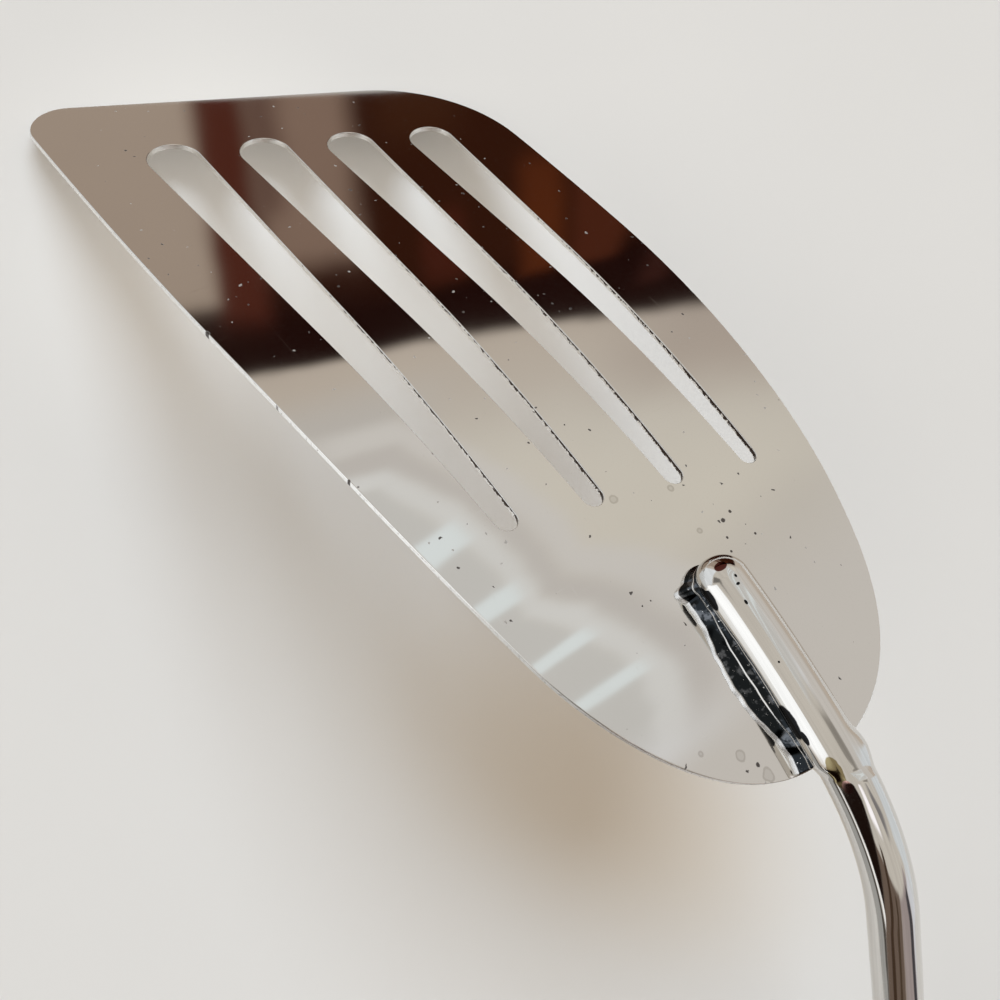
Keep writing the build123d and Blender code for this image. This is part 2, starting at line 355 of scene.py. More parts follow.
def seen(red, green, blue):
    """The light that polished steel shows as this display colour."""
    return tuple(linear(value / 255) / steel for value, steel in zip((red, green, blue), steel_colour))


def large_speck_mask(flat):
    """1 in the specks and nicks of large_specks, at a place with no height."""
    ragged = noise(flat, 1.6, 2.0)
    mask = 0.0
    for middle_x, middle_y, radius in large_specks:
        gap = scaled(ragged, radius, gap_from(flat, (middle_x, middle_y, 0)))
        speck = smooth(gap, 1.55 * radius, 1.2 * radius)
        mask = calc("MAXIMUM", mask, speck)
    return mask


def polished_steel():
    """The blade: mirror polish with fine scratches, faint haze, specks and water rings."""
    material, _, place = piece_material("polished_blade_steel")
    flat = stretched(place, (1.0, 1.0, 0.0))
    haze = noise(place, 0.05, 3.0)
    along = noise(stretched(place, (0.05, 3.0, 1.0), (0, 0, radians(24))), 1.0, 2.0)
    across = noise(stretched(place, (2.6, 0.06, 1.0), (0, 0, radians(-33))), 1.0, 2.0)
    scratch = calc("MAXIMUM", smooth(along, 0.70, 0.80), smooth(across, 0.71, 0.80))
    roughness = scaled(scratch, 0.06, scaled(haze, 0.04, 0.035))
    wave = bump(noise(place, 0.055, 1.0), 0.02)
    # Few cells of a fine, shaken pattern hold a speck, dark or of pale dust
    shaken = fed("TexNoise", {"Vector": flat, "Scale": 1.4}).outputs["Color"]
    shaken = fed("VectorMath", {0: shaken, 1: (0.9, 0.9, 0), 2: flat}, operation="MULTIPLY_ADD")
    fine = fed("TexVoronoi", {"Vector": shaken.outputs[0], "Scale": 0.42}, voronoi_dimensions="2D")
    chosen = fed("SeparateColor", {"Color": fine.outputs["Color"]})
    size = calc("MULTIPLY", smooth(chosen.outputs[0], 0.84, 1.0), 0.085)
    specks = smooth(calc("SUBTRACT", fine.outputs["Distance"], size), 0.02, -0.02)
    pale = smooth(chosen.outputs[1], 0.55, 0.60)
    speck_colour = mix_colour(pale, speck_dark, (0.34, 0.32, 0.30))
    large = large_speck_mask(flat)
    specks = calc("MAXIMUM", specks, large)
    speck_colour = mix_colour(large, speck_colour, (0.05, 0.04, 0.035))
    rings = 0.0
    for middle_x, middle_y, radius in large_rings:
        gap = gap_from(flat, (middle_x, middle_y, 0))
        ragged = scaled(noise(place, 0.7, 2.0), radius, gap)
        gap = calc("ABSOLUTE", calc("SUBTRACT", ragged, 1.5 * radius))
        filled = calc("MULTIPLY", smooth(ragged, 1.5 * radius, 1.4 * radius), 0.5)
        ring = calc("MAXIMUM", filled, smooth(gap, 0.22, 0.08))
        rings = calc("MAXIMUM", rings, ring)
    colour = mix_colour(haze, steel_colour, duller_steel)
    colour = mix_colour(calc("MULTIPLY", rings, 0.45), colour, (0.36, 0.34, 0.31))
    colour = mix_colour(specks, colour, speck_colour)
    return metal(material, colour, roughness, wave, calc("SUBTRACT", 1.0, specks))


def sheared_steel():
    """Walls of the slots: pale, with a torn dark band under the rim that grows to the rear."""
    material, tree, place = piece_material("sheared_steel")
    depth = split(add(tree, "UVMap").outputs[0])[0]
    grain = noise(place, 2.6, 2.0, 0.6)
    torn = ramp(split(place)[0], 30.0, 112.0, -1.35, -0.30)
    ragged = scaled(noise(place, 1.2, 3.0, 0.7), 2.2, torn)
    dark = smooth(calc("SUBTRACT", ragged, depth), -0.04, 0.04)
    colour = mix_colour(dark, (0.86, 0.84, 0.81), (0.05, 0.036, 0.03))
    return metal(material, colour, scaled(grain, 0.3, 0.2), bump(grain, 0.03))


def edge_steel():
    """The blade's outer edge: trimmed and tumbled, brighter than the sole."""
    material, _, place = piece_material("edge_steel")
    grain = noise(place, 2.2, 3.0, 0.6)
    colour = mix_colour(smooth(grain, 0.28, 0.42), (0.30, 0.26, 0.24), (0.90, 0.89, 0.87))
    nicks = large_speck_mask(stretched(place, (1.0, 1.0, 0.0)))
    colour = mix_colour(nicks, colour, speck_dark)
    return metal(material, colour, scaled(grain, 0.2, 0.25), bump(grain, 0.04))


def drawn_steel(name, colour, roughness, wave_height, marks=()):
    """Drawn bar or tube: polish with faint lines along it, from the piece's own map.
    Each mark is an oval on that map and a colour, such as heat tint at a weld or a near-black painted
    reflection."""
    material, tree, place = piece_material(name)
    round_and_along = add(tree, "UVMap").outputs[0]
    lines = noise(stretched(round_and_along, (60.0, 1.2, 1.0)), 1.0, 3.0)
    normal = bump(lines, 0.006, bump(noise(place, 0.12, 2.0), wave_height))
    darker = tuple(0.9 * value for value in colour)
    shown = mix_colour(smooth(lines, 0.3, 0.7), darker, colour)
    ragged = noise(place, 0.8, 2.0)
    for around, along, half_around, half_along, tint in marks:
        scale = (1 / half_around, 1 / half_along, 0)
        here = fed("VectorMath", {0: round_and_along, 1: scale}, operation="MULTIPLY").outputs[0]
        gap = gap_from(here, (around / half_around, along / half_along, 0))
        gap = scaled(ragged, 0.4, gap)
        shown = mix_colour(smooth(gap, 1.26, 1.12), shown, tint)
    return metal(material, shown, scaled(lines, 0.08, roughness), normal)


def weld_steel():
    """Weld: glossy near-black banks with painted bluish-grey sheen patches, on both sides of a thin ridge;
    the ridge and a lip along the toe are painted near white as highlight lines.
    """
    material, tree, place = piece_material("weld_steel")
    across = split(add(tree, "UVMap").outputs[0])[0]
    wander = noise(place, 0.6, 3.0)
    across = scaled(wander, 0.06, calc("SUBTRACT", across, 0.03))
    pores = smooth(noise(place, 2.6, 2.0, 0.7), 0.68, 0.76)
    bank_sheen = noise(place, 0.7, 3.0, 0.6)
    # The banks are near black; their bluish-grey patches are painted sheen
    dark = mix_colour(smooth(bank_sheen, 0.52, 0.66), (0.016, 0.019, 0.022), (0.12, 0.13, 0.145))
    # The lip along the toe and the thin ridge are painted near white: painted highlight lines on the bead's
    # real lip and ridge
    lip = smooth(across, 0.19, 0.12)
    ridge = calc("MULTIPLY", smooth(across, 0.655, 0.675), smooth(across, 0.74, 0.72))
    bright_lines_and_pores = calc("MAXIMUM", calc("MAXIMUM", lip, ridge), pores)
    colour = mix_colour(bright_lines_and_pores, dark, (0.94, 0.95, 0.96))
    roughness = scaled(lip, 0.34, scaled(bank_sheen, 0.16, 0.06))
    return metal(material, colour, roughness, bump(pores, 0.006, bump(noise(place, 0.28, 1.0), 0.03)))


blade_steel = polished_steel()
slot_steel = sheared_steel()
rim_steel = edge_steel()
olive, rose, soot_and_dark_reflection, wine = (0.30, 0.25, 0.14), (0.66, 0.42, 0.40), (0.014, 0.014, 0.015), (0.10, 0.03, 0.025)
# Heat tint, a wine-red patch and small soot marks; the two long near-black ovals at -1.27 and -0.33 along
# the left flank are a painted reflection of the dark room beside the weld
rod_tints_and_reflections = (
    (0.420, 0.07, 0.042, 0.110, olive),
    (0.400, 0.18, 0.030, 0.045, rose),
    (0.300, -1.40, 0.045, 0.030, wine),
    (0.271, -1.295, 0.010, 0.012, soot_and_dark_reflection),
    (0.292, -1.245, 0.016, 0.010, soot_and_dark_reflection),
    (0.323, -1.12, 0.010, 0.018, soot_and_dark_reflection),
    (0.365, -0.695, 0.007, 0.008, soot_and_dark_reflection),
    (0.506, -1.27, 0.038, 0.095, soot_and_dark_reflection),
    (0.510, -0.33, 0.044, 0.130, soot_and_dark_reflection),
    (0.478, -0.20, 0.018, 0.050, soot_and_dark_reflection),
)
rod_steel = drawn_steel("polished_rod_steel", steel_colour, 0.03, 0.02, rod_tints_and_reflections)
bead_steel = weld_steel()
handle_steel = drawn_steel("handle_steel", duller_steel, 0.12, 0.03)
wire_steel = drawn_steel("loop_wire_steel", (0.70, 0.69, 0.67), 0.08, 0.02)


# Meshes

def new_object(name, data):
    """An object of this data, in the scene."""
    made = bpy.data.objects.new(name, data)
    bpy.context.scene.collection.objects.link(made)
    return made


def add_piece(node, points, faces, maps, materials, body="spatula", normals=None, kinds=None, flat=0):
    """A smooth mesh in the blade's axes that stands for a CAD node and rides on its body.
    The last flat faces are its flat ends."""
    name = node + "_dressed"
    mesh = bpy.data.meshes.new(name)
    local = np.array([tuple(point) for point in points])
    turn = np.array(blade_axes.to_3x3())
    placed = local @ turn.T * MILLIMETRE + np.array(blade_origin)
    mesh.from_pydata(placed.tolist(), [], faces)
    rounded = len(mesh.polygons) - flat
    mesh.polygons.foreach_set("use_smooth", [True] * rounded + [False] * flat)
    attribute = mesh.attributes.new(PLACE, "FLOAT_VECTOR", "POINT")
    attribute.data.foreach_set("vector", local.astype(np.float32).ravel())
    for material in materials:
        mesh.materials.append(material)
    if kinds is not None:
        mesh.polygons.foreach_set("material_index", kinds)
    layer = mesh.uv_layers.new(name="round_and_along")
    corners = np.zeros(len(mesh.loops), dtype=np.int32)
    mesh.loops.foreach_get("vertex_index", corners)
    layer.data.foreach_set("uv", np.asarray(maps, dtype=np.float32)[corners].ravel())
    mesh.update()
    if normals is not None:
        mesh.normals_split_custom_set_from_vertices((np.array(normals) @ turn.T).tolist())
    piece = new_object(name, mesh)
    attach(piece, body)
    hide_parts(node)


def ring(centre, first, second, radius, sides):
    """Points of a circle that starts towards first and turns towards second."""
    angles = [2 * pi * side / sides for side in range(sides)]
    return [centre + (first * cos(angle) + second * sin(angle)) * radius for angle in angles]


def ring_map(along, sides):
    """A ring's row of the map: the share of its turn and the place along the piece."""
    return [(side / sides, along / map_length) for side in range(sides)]


def ring_faces(rows, size, flip=False, closed=False):
    """Faces between rings of points, where closed joins the last ring to the first."""
    faces = []
    for row in range(rows if closed else rows - 1):
        lower, upper = row * size, (row + 1) % rows * size
        for index in range(size):
            after = (index + 1) % size
            face = (lower + index, upper + index, upper + after, lower + after)
            faces.append(face[::-1] if flip else face)
    return faces


def bar_faces(rows, size, flip=False):
    """Faces between rings of points, and the two flat ends."""
    ends = [tuple(range(size)), tuple(range((rows - 1) * size, rows * size))[::-1]]
    return ring_faces(rows, size, flip) + [end[::-1] if flip else end for end in ends]


def bezier(start, first, second, end, count):
    """Points of a cubic curve, without its end."""
    share = np.arange(count)[:, None] / count
    rest = 1 - share
    ends = rest**3 * np.array(start) + share**3 * np.array(end)
    return ends + 3 * rest**2 * share * np.array(first) + 3 * rest * share**2 * np.array(second)


def arc(centre, radius, start, end, count):
    """Points of an arc, without its end."""
    angles = start + (end - start) * np.arange(count) / count
    return np.stack([centre[0] + radius * np.cos(angles), centre[1] + radius * np.sin(angles)], axis=1)


def run(start, end, step):
    """Points of a straight line, without its end."""
    start, end = np.array(start, float), np.array(end, float)
    count = max(1, int(np.linalg.norm(end - start) / step))
    return start + (end - start) * (np.arange(count) / count)[:, None]


def side_controls(hand, half_width, straight, before_tail, shoulder, slope, fullness):
    """Control points of a side's two curves, from the front line to the tail. A hand of 1 is the right."""
    at = (tail_x - before_tail, hand * shoulder)
    return [
        (hand * half_width * tan(front_slant), hand * half_width),
        (straight, hand * half_width),
        (at[0] - shoulder_lead_in, at[1] + hand * slope * shoulder_lead_in),
        at,
        (at[0] + shoulder_lead_out, at[1] - hand * slope * shoulder_lead_out),
        (tail_x, hand * fullness),
        (tail_x, 0),
    ]


def blade_outline():
    """The blade's outline, round its plan with the blade on the left hand."""
    left = side_controls(
        -1, left_half_width, left_side_straight, left_shoulder_before_tail,
        left_shoulder_half_width, left_shoulder_slope_share, left_tail_fullness,
    )
    right = side_controls(
        1, right_half_width, right_side_straight, right_shoulder_before_tail,
        right_shoulder_half_width, right_shoulder_slope_share, right_tail_fullness,
    )[::-1]
    left_vertex, right_vertex = left[0], right[-1]
    left_side, left_tail = bezier(*left[:4], side_steps), bezier(*left[3:], tail_steps)
    right_tail, right_side = bezier(*right[:4], tail_steps), bezier(*right[3:], side_steps)
    # Each front corner is an arc that touches the front line and the side
    left_reach = left_corner_radius / tan((pi / 2 - front_slant) / 2)
    right_reach = right_corner_radius / tan((pi / 2 + front_slant) / 2)
    left_middle = (left_vertex[0] + left_reach, left_vertex[1] + left_corner_radius)
    right_middle = (right_vertex[0] + right_reach, right_vertex[1] - right_corner_radius)
    left_side = left_side[left_side[:, 0] > left_middle[0]]
    right_side = right_side[right_side[:, 0] > right_middle[0]]
    front_start = pi - front_slant
    left_corner = arc(left_middle, left_corner_radius, front_start, 1.5 * pi, left_corner_steps)
    right_corner = arc(right_middle, right_corner_radius, pi / 2, front_start, right_corner_steps)
    front_from = arc(right_middle, right_corner_radius, front_start, 0, 1)[0]
    front = run(front_from, left_corner[0], outline_step)
    return np.concatenate([left_side, left_tail, right_tail, right_side, right_corner, front, left_corner])


def slot_outline(number):
    """A slot's outline: two arcs and the two lines that touch them, turning the other way."""
    place_share = number - (slot_count - 1) / 2
    front_apex = slot_front_setback + place_share * slot_pitch * tan(front_slant)
    rear_apex = nose_x - slot_rear_gap + place_share * slot_rear_step
    front_radius = (slot_front_width - slot_width_loss_share * front_apex) / (2 + slot_width_loss_share)
    rear_radius = (slot_front_width - slot_width_loss_share * rear_apex) / (2 - slot_width_loss_share)
    front_x = front_apex + front_radius
    rear_x = rear_apex - rear_radius
    front = (front_x, place_share * (slot_pitch - slot_pitch_loss_share * front_x))
    rear = (rear_x, place_share * (slot_pitch - slot_pitch_loss_share * rear_x))
    heading = atan2(rear[1] - front[1], rear[0] - front[0])
    spread = asin((front_radius - rear_radius) / hypot(rear[0] - front[0], rear[1] - front[1]))
    side = pi / 2 - spread
    front_arc = arc(front, front_radius, heading + side, heading + 2 * pi - side, slot_front_steps)
    rear_arc = arc(rear, rear_radius, heading - side, heading + side, slot_rear_steps)
    front_end = arc(front, front_radius, heading + 2 * pi - side, 0, 1)[0]
    rear_end = arc(rear, rear_radius, heading + side, 0, 1)[0]
    first = run(front_end, rear_arc[0], outline_step)
    second = run(rear_end, front_arc[0], outline_step)
    return np.concatenate([front_arc, first, rear_arc, second])[::-1]


def outward(loop):
    """The direction out of the steel at each point of a loop."""
    step = np.roll(loop, -1, axis=0) - np.roll(loop, 1, axis=0)
    normal = np.stack([step[:, 1], -step[:, 0]], axis=1)
    return normal / np.linalg.norm(normal, axis=1)[:, None]


def inside(points, loop):
    """Whether each point is inside a loop."""
    found = np.zeros(len(points), dtype=bool)
    for first, second in zip(loop, np.roll(loop, -1, axis=0)):
        if first[1] == second[1]:
            continue
        between = (first[1] > points[:, 1]) != (second[1] > points[:, 1])
        share = (points[:, 1] - first[1]) / (second[1] - first[1])
        found ^= between & (points[:, 0] < first[0] + share * (second[0] - first[0]))
    return found


def on_sheet(plan, depth):
    """Points of the sheet at a depth under the sole, and the sole's normal there."""
    slope = sole_slope(plan[:, 0])
    normal = np.stack([np.sin(slope), np.zeros(len(plan)), np.cos(slope)], axis=1)
    sole = np.stack([plan[:, 0], plan[:, 1], sole_height(plan[:, 0])], axis=1)
    return sole - normal * depth, normal


def build_blade():
    """The blade: sole and back with rounded rims, and the walls of its edge and slots."""
    loops = [blade_outline()] + [slot_outline(number) for number in range(slot_count)]
    rims = [loop - outward(loop) * edge_round for loop in loops]
    grid_x, grid_y = np.meshgrid(np.arange(-15, tail_x, blade_grid), np.arange(-42, 42, blade_grid))
    grid_x = grid_x + np.where(np.arange(grid_x.shape[0]) % 2, blade_grid / 2, 0)[:, None]
    grid = np.stack([grid_x.ravel(), grid_y.ravel()], axis=1)
    grid = grid[inside(grid, rims[0])]
    for rim in rims[1:]:
        grid = grid[~inside(grid, rim)]
    for rim in rims:
        gaps = np.linalg.norm(grid[:, None] - rim, axis=2).min(axis=1)
        grid = grid[gaps > 0.45 * blade_grid]
    flat = np.concatenate(rims + [grid])
    edges = []
    start = 0
    for rim in rims:
        count = len(rim)
        edges += [(start + index, start + (index + 1) % count) for index in range(count)]
        start += count
    found = delaunay_2d_cdt([Vector(point) for point in flat], edges, [], 0, 1e-7)
    plan = np.array([tuple(point) for point in found[0]])
    triangles = np.array(found[2])
    middles = plan[triangles].mean(axis=1)
    keep = inside(middles, rims[0])
    for rim in rims[1:]:
        keep &= ~inside(middles, rim)
    triangles = triangles[keep]
    place_of = {}
    for index, sources in enumerate(found[3]):
        for source in sources:
            place_of[source] = index
    count = len(plan)
    top, top_normal = on_sheet(plan, 0.0)
    bottom, bottom_normal = on_sheet(plan, sheet_thickness)
    points = [top, bottom]
    normals = [top_normal, -bottom_normal]
    depths = [np.zeros(count), np.ones(count)]
    faces = [tuple(triangle) for triangle in triangles]
    faces += [tuple(triangle[::-1] + count) for triangle in triangles]
    kinds = [0] * (2 * len(triangles))
    base = 2 * count
    start = 0
    for number, loop in enumerate(loops):
        size = len(loop)
        wall = 2 if number else 1
        side = np.concatenate([outward(loop), np.zeros((size, 1))], axis=1)
        for depth in (edge_round, sheet_thickness - edge_round):
            points.append(on_sheet(loop, depth)[0])
            normals.append(side)
            depths.append(np.full(size, depth / sheet_thickness))
        upper = [place_of[start + index] for index in range(size)]
        lower = [index + count for index in upper]
        rows = [upper, range(base, base + size), range(base + size, base + 2 * size), lower]
        for row, (above, below) in enumerate(zip(rows, rows[1:])):
            for index in range(size):
                after = (index + 1) % size
                faces.append((above[index], below[index], below[after], above[after]))
            kinds += [wall if row == 1 else 0] * size
        base += 2 * size
        start += size
    points = np.concatenate(points)
    normals = np.concatenate(normals)
    depths = np.concatenate(depths)
    maps = np.stack([depths, points[:, 0] / map_length], axis=1)
    steels = [blade_steel, rim_steel, slot_steel]
    add_piece("blade", points, faces, maps, steels, normals=normals, kinds=kinds)


build_blade()


# Rod: rings along the welded part, the bend and the straight part that enters the handle

def square_to(slope):
    """The direction square to the side view's line at a slope."""
    return np.array([sin(slope), 0, cos(slope)])


rod_bend_start = np.array([bend_x, 0, bend_z]) + rod_axis_height * square_to(bend_slope)
rod_bend_centre = rod_bend_start - bend_radius * square_to(bend_slope)
rod_bend_end = rod_bend_centre + bend_radius * square_to(handle_slope)
handle_direction = np.array([cos(handle_slope), 0, -sin(handle_slope)])
bend_run = bend_radius * bend_angle
straight_run = exposed_rod_length + ferrule_length + rod_tail_length


def rod_frame(along):
    """The rod's axis point and its normal, at a distance from the bend's start, back or forward."""
    if along <= 0:
        x, z, slope = sole_point(bend_distance + along)
        return np.array([x, 0, z]) + square_to(slope) * rod_axis_height, square_to(slope)
    if along <= bend_run:
        normal = square_to(bend_slope + along / bend_radius)
        return rod_bend_centre + normal * bend_radius, normal
    return rod_bend_end + handle_direction * (along - bend_run), square_to(handle_slope)


def pressed_radius(angle):
    """How far the pressed oval reaches from the rod's axis at an angle, 0 right and a quarter turn up."""
    half_width = pressed_width / 2
    half_height = pressed_round_height / 2
    a = (cos(angle) / half_width) ** 2 + (sin(angle) / half_height) ** 2
    b = 2 * pressed_drop * sin(angle) / half_height**2
    c = (pressed_drop / half_height) ** 2 - 1
    reach = (-b + sqrt(max(b * b - 4 * a * c, 0))) / (2 * a)
    if sin(angle) < 0:
        reach = min(reach, rod_axis_height / -sin(angle))
    return reach


def swell(value, middle, reach):
    """1 at the middle and 0 at its reach, smooth between."""
    gap = min(abs(value - middle) / reach, 1)
    return (1 - gap * gap) ** 2


def build_rod():
    """The rod with its pressed, welded part, round nose and the step where the press ended."""
    nose_radius = pressed_width / 2
    nose_centre = nose_setback - welded_length + nose_radius
    stations = [nose_centre - nose_radius * cos(turn) for turn in np.linspace(0.12, pi / 2, 24)]
    stations += list(np.arange(stations[-1] + 0.5, pressed_past_bend - 2.4, 0.5))
    stations += list(np.arange(pressed_past_bend - 2.2, pressed_past_bend + 3.0, 0.15))
    stations += list(np.arange(pressed_past_bend + 3.3, bend_run, 0.6))
    stations += list(np.arange(bend_run, bend_run + straight_run, long_step)) + [bend_run + straight_run]
    points, maps = [], []
    for along in stations:
        centre, up = rod_frame(along)
        shrink = 1.0
        if along < nose_centre:
            shrink = sqrt(max(1 - ((nose_centre - along) / nose_radius) ** 2, 0.0004))
        drop = pressed_drop + nose_drop * (1 - shrink)
        for side in range(ring_sides):
            angle = 2 * pi * side / ring_sides
            step_at = pressed_past_bend - 0.2 + 1.5 * cos(angle - 0.5) + 0.3 * sin(3 * angle + 1)
            share = min(max((along - step_at + 0.9) / 1.8, 0), 1)
            share = share * share * (3 - 2 * share)
            if shrink < 0.999:
                across = shrink * pressed_width / 2 * cos(angle)
                height = max(shrink * pressed_round_height / 2 * sin(angle) - drop, -rod_axis_height)
            else:
                reach = pressed_radius(angle) * (1 - share) + rod_radius * share
                bulge_side = swell((angle - 0.35 + pi) % (2 * pi), pi, 1.1)
                reach += pressed_bulge * swell(along, 0.6, 3.4) * bulge_side
                across = reach * cos(angle)
                height = reach * sin(angle)
            points.append(centre + up * height + np.array([0, across, 0]))
        maps += ring_map(along, ring_sides)
    faces = bar_faces(len(stations), ring_sides)
    add_piece("shank_rod", points, faces, maps, [rod_steel], flat=2)


build_rod()


def toe_share(share):
    """The toe's width share along the bead, smooth through the given ones."""
    last = len(toe_width_shares) - 1
    place = share * last
    index = min(int(place), last - 1)
    part = place - index
    values = [toe_width_shares[max(0, min(index + step, last))] for step in (-1, 0, 1, 2)]
    a = 2 * values[1]
    b = values[2] - values[0]
    c = 2 * values[0] - 5 * values[1] + 4 * values[2] - values[3]
    d = -values[0] + 3 * values[1] - 3 * values[2] + values[3]
    return 0.5 * (a + b * part + c * part**2 + d * part**3)


def bead_profile(outer, inner, rise):
    """A bead's section from its toe to the bar: a lip, a low bank, a thin ridge and a second bank."""
    shares = (np.arange(bead_columns) + 0.5) / bead_columns
    knots = (0, 0.02, 0.10, 0.16, 0.48, 0.62, 0.66, 0.705, 0.74, 0.85, 1)
    slopes = np.radians(np.interp(shares, knots, (30, 62, 54, 23, 26, 33, 14, -16, 30, 36, 33)))
    reach = np.concatenate([[0], np.cumsum(np.cos(slopes))])
    height = np.concatenate([[0], np.cumsum(np.sin(slopes))])
    return outer + (inner - outer) * reach / reach[-1], rise * height / height[-1]


def build_bead(side, toe_width, node):
    """A weld bead that starts round the bar's nose and follows its flank, with a wavy toe."""
    wall = pressed_width / 2
    start = nose_distance + nose_setback + wall
    wrap = np.linspace(bead_wrap_angle, 0, bead_wrap_rows, endpoint=False)
    turns = list(wrap) + [0] * bead_straight_rows
    distances = [start] * bead_wrap_rows + list(np.linspace(start, bend_distance, bead_straight_rows))
    points, maps = [], []
    for row, (turn, distance) in enumerate(zip(turns, distances)):
        share = (distance - start) / (bend_distance - start)
        begun = min((bead_wrap_angle - turn) / bead_wrap_angle * 1.25, 1)
        wobble = 0.07 * sin(31 * share) + 0.05 * sin(67 * share + 1)
        outer = wall + (toe_width * toe_share(share) + wobble - wall) * sqrt(begun) * cos(0.75 * turn)
        outer += bead_spur * swell(turn, bead_spur_angle, bead_spur_reach)
        ends = max(swell(share, 0.06, 0.2), swell(share, 0.93, 0.24))
        rise = bead_seam_height + (bead_end_height - bead_seam_height) * ends
        rise = (rise + 0.08 * sin(23 * share + 2)) * (0.45 + 0.55 * begun)
        inner = wall * 0.9
        reaches, heights = bead_profile(outer, inner, rise)
        reaches = reaches + 0.05 * np.sin(np.linspace(0, pi, bead_columns + 1)) * sin(45 * share + 3 * turn)
        reaches = list(reaches) + [inner - 0.5, 0.4, 0.4]
        heights = list(heights) + [rise + 0.25, rise, 0]
        for column, (reach, height) in enumerate(zip(reaches, heights)):
            maps.append((min(column / bead_columns, 1), row / map_length))
            x, z, slope = sole_point(distance - reach * sin(turn))
            points.append(np.array([x, side * reach * cos(turn), z]) + square_to(slope) * height)
    faces = bar_faces(len(turns), len(heights), side < 0)
    add_piece(node, points, faces, maps, [bead_steel], flat=2)


build_bead(-1, left_toe_width, "left_weld_bead")
build_bead(1, right_toe_width, "right_weld_bead")


# Handle: turned pieces, each a profile of (distance along the handle's axis, radius)

def soft_corner(before, corner, after, radius=seam_round):
    """Points that round a profile's corner."""
    corner = np.array(corner, float)
    into = np.array(before, float) - corner
    out = np.array(after, float) - corner
    into *= radius / np.linalg.norm(into)
    out *= radius / np.linalg.norm(out)
    shares = np.linspace(0, 1, 6)[:, None]
    ends = (1 - shares) ** 2 * (corner + into) + shares**2 * (corner + out)
    return list(ends + 2 * shares * (1 - shares) * corner)


def dense(profile, step):
    """A profile with more points on its long runs."""
    points = []
    for start, end in zip(profile, profile[1:]):
        points += list(run(start, end, step))
    return points + [np.array(profile[-1], float)]


def turned(node, profile, closed=False):
    """A smooth piece turned about the handle's axis."""
    points, maps = [], []
    across = np.array([0, 1, 0])
    up = square_to(handle_slope)
    for along, radius in profile:
        centre = rod_bend_end + handle_direction * along
        points += ring(centre, across, up, max(radius, 0.001), ring_sides)
        maps += ring_map(along, ring_sides)
    faces = ring_faces(len(profile), ring_sides, closed=closed)
    add_piece(node, points, faces, maps, [handle_steel])


handle_radius = handle_diameter / 2
tube_bore_radius = handle_radius - handle_wall
ferrule_front = exposed_rod_length
ferrule_back = ferrule_front + ferrule_length
cap_front = handle_reach - cap_collar_length
rod_bore = rod_radius + fit_clearance
spigot_radius = tube_bore_radius - fit_clearance
lip_radius = ferrule_front_diameter / 2
front_rim = (ferrule_back, handle_radius)
rear_rim = (cap_front, handle_radius)

flare = bezier(
    (ferrule_front, lip_radius),
    (ferrule_front + ferrule_length / 3, lip_radius + handle_wall),
    (ferrule_back - ferrule_length / 3, handle_radius),
    front_rim,
    profile_steps,
)
lip = soft_corner((ferrule_front, rod_bore), (ferrule_front, lip_radius), flare[2], lip_round)
seam = soft_corner(flare[-1], front_rim, (ferrule_back, spigot_radius))
ferrule_profile = [(ferrule_front, rod_bore)] + lip + list(flare[2:]) + seam
ferrule_profile += [(ferrule_back, spigot_radius), (ferrule_back + spigot_length, spigot_radius)]
ferrule_profile += [(ferrule_back + spigot_length, rod_bore)]
turned("ferrule", ferrule_profile, closed=True)

tube_front = soft_corner((ferrule_back, tube_bore_radius), front_rim, rear_rim)
tube_rear = soft_corner(front_rim, rear_rim, (cap_front, tube_bore_radius))
tube_profile = [(ferrule_back, tube_bore_radius)] + tube_front
tube_profile += dense([tube_front[-1], tube_rear[0]], long_step)[1:-1] + tube_rear
tube_profile += [(cap_front, tube_bore_radius)]
turned("handle_tube", tube_profile, closed=True)

collar = soft_corner((cap_front, spigot_radius), rear_rim, (handle_reach, handle_radius))
dome = [
    (handle_reach + handle_radius * sin(turn), handle_radius * cos(turn))
    for turn in np.linspace(0, pi / 2, profile_steps)
]
cap_spigot = cap_front - spigot_length
cap_profile = [(cap_spigot, 0), (cap_spigot, spigot_radius), (cap_front, spigot_radius)]
cap_profile += collar + dense([collar[-1], dome[0]], long_step)[1:-1] + dome
turned("end_cap", cap_profile)


